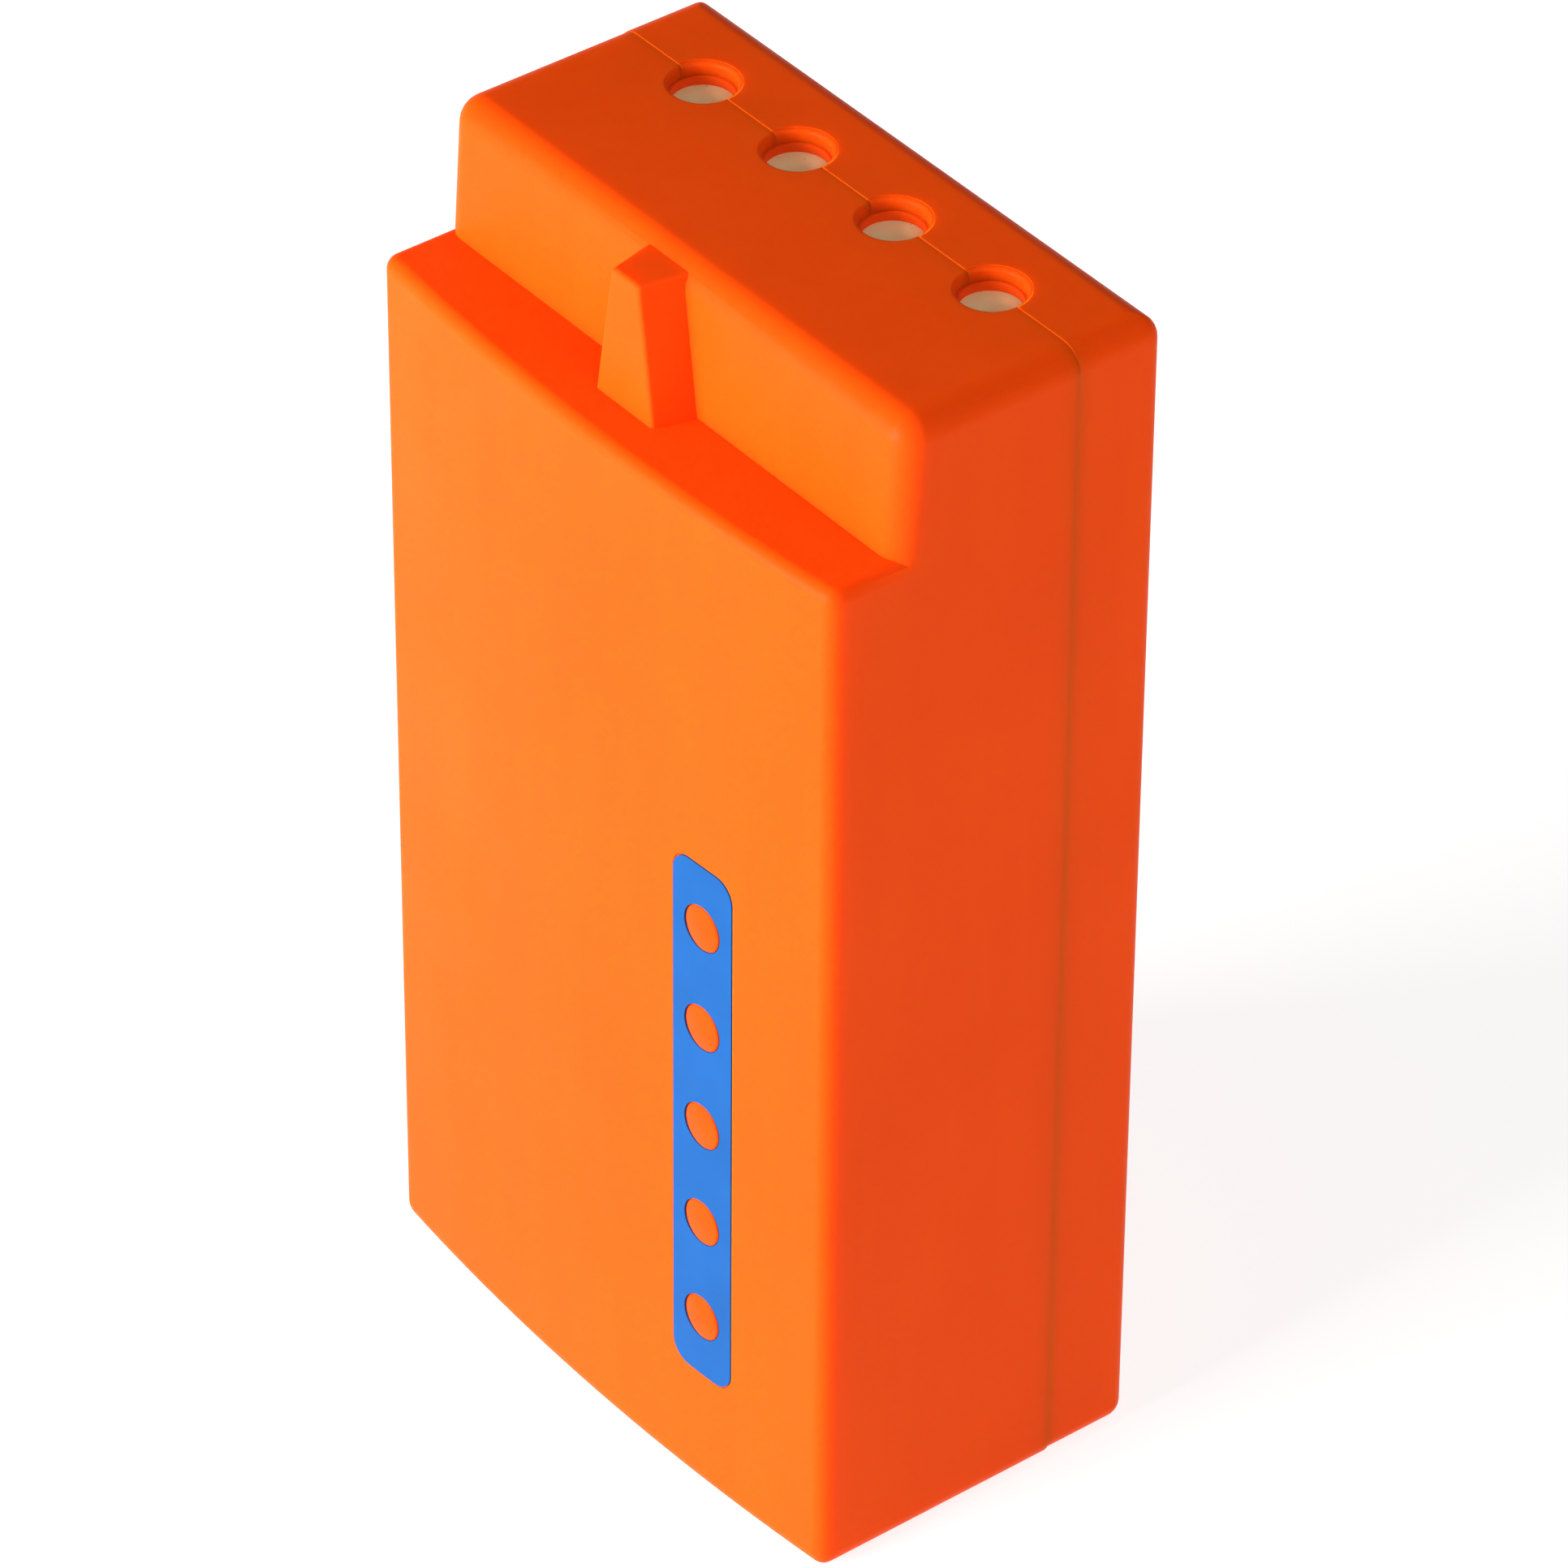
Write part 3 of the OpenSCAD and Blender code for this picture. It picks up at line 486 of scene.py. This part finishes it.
def make_piece(name, bm, slot, node):
    """A finished piece that stands for a CAD node."""
    mesh = bpy.data.meshes.new(name)
    bm.to_mesh(mesh)
    bm.free()
    mesh.shade_smooth()
    mesh.set_sharp_from_angle(angle=math.radians(SHARP_ANGLE))
    obj = bpy.data.objects.new(name, mesh)
    bpy.context.scene.collection.objects.link(obj)
    mesh.materials.append(MATS[slot])
    even = obj.modifiers.new("even_normals", "WEIGHTED_NORMAL")
    even.keep_sharp = True
    even.weight = EVEN_WEIGHT
    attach(obj, "root")
    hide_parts(node)


# ---- case halves -----------------------------------------------------------------------------

FAR = 80.0
SHARP_ANGLE = 35
EVEN_WEIGHT = 90
MOUTH_R = 2.9
RIM_R = 0.4
RIB_D = 3.9
RIB_R = 0.45
RIB_FOOT = (-4.3, 3.7)
RIB_TOP = (-3.0, 0.8)
RIB_FLARE = 0.8
RIB_DROP = 0.8

pads = [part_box(f"contact_pad_{i}") for i in range(1, 5)]
CONTACT_X = [(low.x + high.x) / 2 / MM for low, high in pads]
pipes = [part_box(f"light_pipe_{i}") for i in range(1, 6)]
WINDOWS = [((low.x + high.x) / 2 / MM, (low.z + high.z) / 2 / MM) for low, high in pipes]
WINDOW_R = 2.2
LABEL_W = 7.3
LABEL_H = 54.2
LABEL_R = 2.0
LENS_CROWN_R = 12.0
SEAM_R = 0.03
RECESS_R = 0.12
FIT_GAP = 0.15
CELLS = [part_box(f"cell_{i}") for i in range(1, 4)]
CELL_Y = (CELLS[1][0].y + CELLS[1][1].y) / 2 / MM


def ball(x, y, z, r):
    """Points of a sphere."""
    points = [(x, y, z - r), (x, y, z + r)]
    for tilt in np.radians(np.arange(-67.5, 80, 22.5)):
        ring = arc(x, y, r * math.cos(tilt), 0, 345, 23)
        points += [(px, py, z + r * math.sin(tilt)) for px, py in ring]
    return points


def key_rib():
    """The rib's front corners and top edges are round, and its back lies inside the neck's wall."""
    grip = 1.0
    points = []
    top_z = TOP - RIB_DROP - RIB_R
    lean = (top_z - STEP) * LEAN
    for side in (0, 1):
        out = 1 if side else -1
        foot_x = RIB_FOOT[side] - out * RIB_R
        top_x = RIB_TOP[side] - out * RIB_R
        flare = out * RIB_FLARE * (RIB_D + grip) / RIB_D
        front = NECK_Y - RIB_D + RIB_R
        back = NECK_Y + grip
        points += [(x, y, STEP - 1) for x, y in arc(foot_x, front, RIB_R, 0, 345, 23)]
        points += [(foot_x + out * RIB_R + flare, back, STEP - 1)]
        points += ball(top_x, front + lean, top_z, RIB_R)
        points += [p for p in ball(top_x + flare, back + lean, top_z, RIB_R) if p[1] <= back + lean + 1e-6]
    return hull_of(points)


def mouth(x):
    """Cutter for a contact's opening, with its round rim."""
    profile = [(0, -WALL - 1), (MOUTH_R, -WALL - 1)]
    for t in np.radians(np.linspace(0, 90, 7)):
        profile.append((MOUTH_R + RIM_R * (1 - math.cos(t)), RIM_R * (math.sin(t) - 1)))
    profile += [(MOUTH_R + RIM_R, 1), (0, 1)]
    return turned(profile, (x, SEAM, TOP))


def face_y(x, depth=0.0):
    """Where the bowed face is at x, or a surface that lies depth inside it."""
    return BOW_Y - math.sqrt((BOW_R - depth) ** 2 - x ** 2)


def label_slab(grow, proud, depth):
    """The label's area with round corners, from proud of the bowed face to depth inside it."""
    mid_x, mid_z = WINDOWS[2]
    hw = LABEL_W / 2 + grow
    hh = LABEL_H / 2 + grow
    flat = hw - LABEL_R
    turns = np.radians(np.linspace(0, 90, 9))
    corner = [(LABEL_R * math.sin(t), LABEL_R * (math.cos(t) - 1)) for t in turns]
    columns = [(x, hh) for x in np.linspace(0, flat, 4)[:-1]]
    columns += [(flat + x, hh + z) for x, z in corner]
    columns = [(-x, z) for x, z in columns[:0:-1]] + columns
    bm = bmesh.new()
    rows = []
    for dx, z in columns:
        x = mid_x + dx
        corners = [(-proud, -z), (depth, -z), (depth, z), (-proud, z)]
        rows.append([bm.verts.new(Vector((x, face_y(x, d), mid_z + h)) * MM) for d, h in corners])
    for a, b in zip(rows, rows[1:]):
        for i in range(4):
            j = (i + 1) % 4
            bm.faces.new((a[i], a[j], b[j], b[i]))
    bm.faces.new(rows[0])
    bm.faces.new(rows[-1])
    bmesh.ops.recalc_face_normals(bm, faces=bm.faces)
    return bm


def window_cutters(r):
    """Cutters for the five windows, from inside the wall to in front of the face."""
    face = face_y(WINDOWS[0][0])
    inner = -3
    outer = 2
    profile = [(0, inner), (r, inner), (r, outer), (0, outer)]
    return [turned(profile, (x, face, z), "-y", 48) for x, z in WINDOWS]


def on_seam(edge):
    """Is the edge on the outer rim of a case half?"""
    outermost = 0.985
    for v in edge.verts:
        x, y, z = v.co / MM
        reach = max(abs(x) / HALF_W, abs(z / TOP * 2 - 1))
        if abs(y - SEAM) > 1e-3 or reach < outermost:
            return False
    return True


def case_half(inset, rise, inside):
    """The case's solid and its cavity, less the features that stand inside."""
    overlap = 6
    block = combine(
        lower_block(inset, Y_REAR, inset + rise, STEP - inset + rise), "UNION",
        neck_block(inset, Y_REAR, STEP - overlap, TOP - inset + rise),
    )
    hollow = combine(
        lower_block(WALL, Y_REAR - WALL, WALL, STEP - WALL), "UNION",
        neck_block(WALL, Y_REAR - WALL, STEP - overlap - 2, TOP - WALL),
    )
    return block, combine(hollow, "DIFFERENCE", *inside)


def gauge_posts():
    """Two posts with screw bores, which carry the gauge board."""
    screw_z = 27.6
    post_r = 2.5
    bore_r = 0.85
    bore_depth = 5
    x, mid_z = WINDOWS[2]
    root = -(face_y(x) + WALL - 0.4)
    end = -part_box("gauge_board")[0].y / MM
    floor = end + bore_depth
    profile = [(0, floor), (bore_r, floor), (bore_r, end), (post_r, end), (post_r, root), (0, root)]
    return [turned(profile, (x, 0, mid_z + side * screw_z), "-y", 32) for side in (-1, 1)]


def board_guides():
    """Card guides for the main board on both side walls."""
    tip = 25
    thick = 1.2
    low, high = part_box("main_board")
    y0 = low.y / MM - FIT_GAP
    y1 = high.y / MM + FIT_GAP
    z = (low.z / MM - 2, high.z / MM - 4)
    wall = HALF_W - WALL + 0.4
    rails = []
    for a, b in ((tip, wall), (-wall, -tip)):
        rails += [box_solid(a, b, y0 - thick, y0, *z), box_solid(a, b, y1, y1 + thick, *z)]
    return rails


def cradle(x0, x1, y0, y1):
    """Two cross plates that follow the cells and leave room for the wires between them."""
    thick = 1.4
    half = 45
    plates = []
    for z in (18, 54):
        cuts = []
        for low, high in CELLS:
            r = (high.x - low.x) / 2 / MM + FIT_GAP
            profile = [(0, -half), (r, -half), (r, half), (0, half)]
            cuts.append(turned(profile, (low + high) / 2 / MM, "z", 96))
        middle_x = (CELLS[1][0].x + CELLS[1][1].x) / 2 / MM
        pitch = (CELLS[2][0].x + CELLS[2][1].x) / 2 / MM - middle_x
        for x in (middle_x - pitch / 2, middle_x + pitch / 2):
            cuts.append(box_solid(x - 1.5, x + 1.5, CELL_Y - 9.5, CELL_Y + 2.5, 0, FAR))
        plates.append(combine(box_solid(x0, x1, y0, y1, z, z + thick), "DIFFERENCE", *cuts))
    return plates


def carrier_seat():
    """Cutter for the contact carrier's seat in the roof."""
    low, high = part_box("contact_carrier")
    gap = 0.1
    x = high.x / MM + gap
    return box_solid(-x, x, low.y / MM - gap, high.y / MM + gap, TOP - WALL - 1, high.z / MM)


def rear_recess():
    """Cutter for the shallow blank area on the rear face."""
    hw = 23.0
    r = 2.0
    z0 = 35.0
    z1 = 95.0
    depth = 0.3
    steps = 6
    outline = arc(hw - r, z1 - r, r, 0, 90, steps) + arc(r - hw, z1 - r, r, 90, 180, steps)
    outline += arc(r - hw, z0 + r, r, 180, 270, steps) + arc(hw - r, z0 + r, r, 270, 360, steps)
    return loft([[(x, y, z) for x, z in outline] for y in (Y_REAR + 1, Y_REAR - depth)])


def in_recess_rim(edge):
    return all(v.co.y > (Y_REAR - 0.01) * MM and abs(v.co.x) < 23.1 * MM for v in edge.verts)


def case_front():
    inside = gauge_posts() + board_guides() + cradle(-HALF_W, 7, -Y_REAR, CELL_Y - 3)
    block, hollow = case_half(0, 0, inside)
    block = combine(block, "UNION", key_rib())
    rest = box_solid(-FAR, FAR, SEAM, FAR, -FAR, 2 * FAR)
    cutters = [mouth(x) for x in CONTACT_X] + window_cutters(WINDOW_R)
    cutters += [label_slab(0.1, 1.0, 0.2), carrier_seat()]
    bm = clean(combine(block, "DIFFERENCE", hollow, rest, *cutters))
    soften(bm, on_seam, SEAM_R)
    make_piece("case_front", bm, "case_plastic", "front_shell")


def case_rear():
    inside = cradle(-HALF_W, HALF_W, CELL_Y + 3.5, Y_REAR - 0.9)
    block, hollow = case_half(SEAM_INSET, SEAM_RISE, inside)
    rest = box_solid(-FAR, FAR, -FAR, SEAM, -FAR, 2 * FAR)
    cutters = [mouth(x) for x in CONTACT_X] + [carrier_seat(), rear_recess()]
    bm = clean(combine(block, "DIFFERENCE", hollow, rest, *cutters))
    soften(bm, on_seam, SEAM_R)
    soften(bm, in_recess_rim, RECESS_R)
    make_piece("case_rear", bm, "case_plastic", "rear_shell")


def gauge_film():
    """Thin label with soft edges and five holes."""
    bm = clean(combine(label_slab(0, 0.05, 0.19), "DIFFERENCE", *window_cutters(WINDOW_R + 0.02)))
    front = face_y(WINDOWS[0][0] + 4) * MM
    soften(bm, lambda edge: max(v.co.y for v in edge.verts) < front, 0.04)
    make_piece("gauge_film", bm, "label_film", "gauge_label")


def gauge_lens(number):
    """Light pipe: crowned lens with a soft rim, stop flange and stem."""
    soft = 0.1
    stem_r = 1.6
    flange_r = 2.9
    lens_r = WINDOW_R - 0.05
    back = -2.9
    front = -2.1
    low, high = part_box(f"light_pipe_{number}")
    x, z = WINDOWS[number - 1]
    base = face_y(x)
    tip = base - low.y / MM
    end = base - high.y / MM
    profile = [(0, end), (stem_r - soft, end), (stem_r, end + soft), (stem_r, back)]
    profile += [(flange_r - soft, back), (flange_r, back + soft)]
    profile += [(flange_r, front - soft), (flange_r - soft, front), (lens_r, front)]
    centre = tip - LENS_CROWN_R
    radii = np.linspace(lens_r - soft, 0, 9)
    dome = [(r, centre + math.sqrt(LENS_CROWN_R ** 2 - r ** 2)) for r in radii[:-1]]
    profile += [(lens_r, dome[0][1] - soft)] + dome + [(0, tip)]
    bm = turned(profile, (x, base, z), "-y", 48)
    make_piece(f"gauge_lens_{number}", bm, "window_plastic", f"light_pipe_{number}")


def contact_disc(number):
    """Contact: a disc with a soft rim and a shallow dish where the pins land, on a stem."""
    soft = 0.1
    stem_r = 0.9
    thick = 0.8
    low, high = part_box(f"contact_pad_{number}")
    x = (low.x + high.x) / 2 / MM
    y = (low.y + high.y) / 2 / MM
    r = (high.x - low.x) / 2 / MM
    top = high.z / MM
    stem = low.z / MM - top
    profile = [(0, stem), (stem_r - soft, stem), (stem_r, stem + soft), (stem_r, -thick)]
    profile += [(r - soft, -thick), (r, soft - thick)]
    profile += [(r, -0.12), (r - 0.04, -0.03), (r - 0.14, 0)]
    profile += [(1.5, 0), (0.9, -0.03), (0, -0.045)]
    bm = turned(profile, (x, y, top), "z", 64)
    make_piece(f"contact_disc_{number}", bm, "contact_metal", f"contact_pad_{number}")


case_front()
case_rear()
gauge_film()
for number in range(1, 6):
    gauge_lens(number)
for number in range(1, 5):
    contact_disc(number)

# ---- carried-over nodes ----------------------------------------------------------------------

slot_of = {s["node"]: s["material_slot"] for s in frame["record"]["subparts"]}
for name, obj in NODES.items():
    mat = MATS[slot_of[name]]
    if obj.hide_render:
        continue
    if obj.material_slots:
        for slot in obj.material_slots:
            slot.material = mat
    else:
        obj.data.materials.append(mat)

# ---- floor, light and camera -----------------------------------------------------------------


def make_floor():
    """A flat round floor whose far edge sweeps up, so that it also fills low views."""
    flat = 2.4
    rise = 0.8
    steps = 96
    climb = np.radians(np.linspace(0, 60, 9))
    sweep = [(flat + rise * math.sin(t), rise * (1 - math.cos(t))) for t in climb]
    turns = np.linspace(0, 2 * math.pi, steps, endpoint=False)
    bm = bmesh.new()
    rings = []
    for r, z in sweep:
        rings.append([bm.verts.new((r * math.cos(t), r * math.sin(t), z)) for t in turns])
    bm.faces.new(rings[0])
    for a, b in zip(rings, rings[1:]):
        for i in range(steps):
            j = (i + 1) % steps
            bm.faces.new((a[i], b[i], b[j], a[j]))
    mesh = bpy.data.meshes.new("floor")
    bm.to_mesh(mesh)
    bm.free()
    mesh.shade_smooth()
    floor = bpy.data.objects.new("floor", mesh)
    bpy.context.scene.collection.objects.link(floor)
    s = Shader("floor", roughness=0.9)
    s.colour(s.ramp(s.noise(0.4), [(0.3, (0.40, 0.40, 0.40)), (0.7, (0.42, 0.42, 0.42))]))
    s.set(s.bsdf, "Emission Color", (1, 1, 1, 1))
    s.set(s.bsdf, "Emission Strength", 0.78)
    s.set(s.bsdf, "Specular IOR Level", 0.0)
    mesh.materials.append(s.mat)


def area_light(name, place, target, size, power):
    data = bpy.data.lights.new(name, "AREA")
    data.shape = "RECTANGLE"
    data.size, data.size_y = size
    data.energy = power
    light = bpy.data.objects.new(name, data)
    bpy.context.scene.collection.objects.link(light)
    light.location = place
    light.rotation_mode = "QUATERNION"
    light.rotation_quaternion = (Vector(target) - Vector(place)).to_track_quat("-Z", "Y")


def make_light():
    world = bpy.data.worlds.new("studio")
    world.use_nodes = True
    back = world.node_tree.nodes["Background"]
    back.inputs["Color"].default_value = (1, 1, 1, 1)
    back.inputs["Strength"].default_value = 0.13
    bpy.context.scene.world = world
    middle = (0, 0, 0.06)
    area_light("key", (-0.15, -0.75, 0.23), middle, (0.5, 0.5), 17.0)
    area_light("fill", (0.68, -0.03, 0.74), middle, (0.6, 0.6), 3.0)


def make_camera():
    data = bpy.data.cameras.new("camera")
    data.sensor_width = 36.0
    data.lens = 214.9
    data.clip_start, data.clip_end = 0.01, 10.0
    cam = bpy.data.objects.new("camera", data)
    bpy.context.scene.collection.objects.link(cam)
    back = Vector((0.62558, -0.48988, 0.60718)).normalized()
    right = Vector((0, 0, 1)).cross(back).normalized()
    up = back.cross(right)
    roll = math.radians(0.4207)
    right_r = right * math.cos(roll) + up * math.sin(roll)
    up_r = up * math.cos(roll) - right * math.sin(roll)
    cam.location = Vector((490.09, -380.71, 533.06)) * MM
    cam.matrix_world = Matrix((
        (right_r.x, up_r.x, back.x, cam.location.x),
        (right_r.y, up_r.y, back.y, cam.location.y),
        (right_r.z, up_r.z, back.z, cam.location.z),
        (0, 0, 0, 1),
    ))
    bpy.context.scene.camera = cam


make_floor()
make_light()
make_camera()
bpy.context.scene.view_settings.view_transform = "Standard"
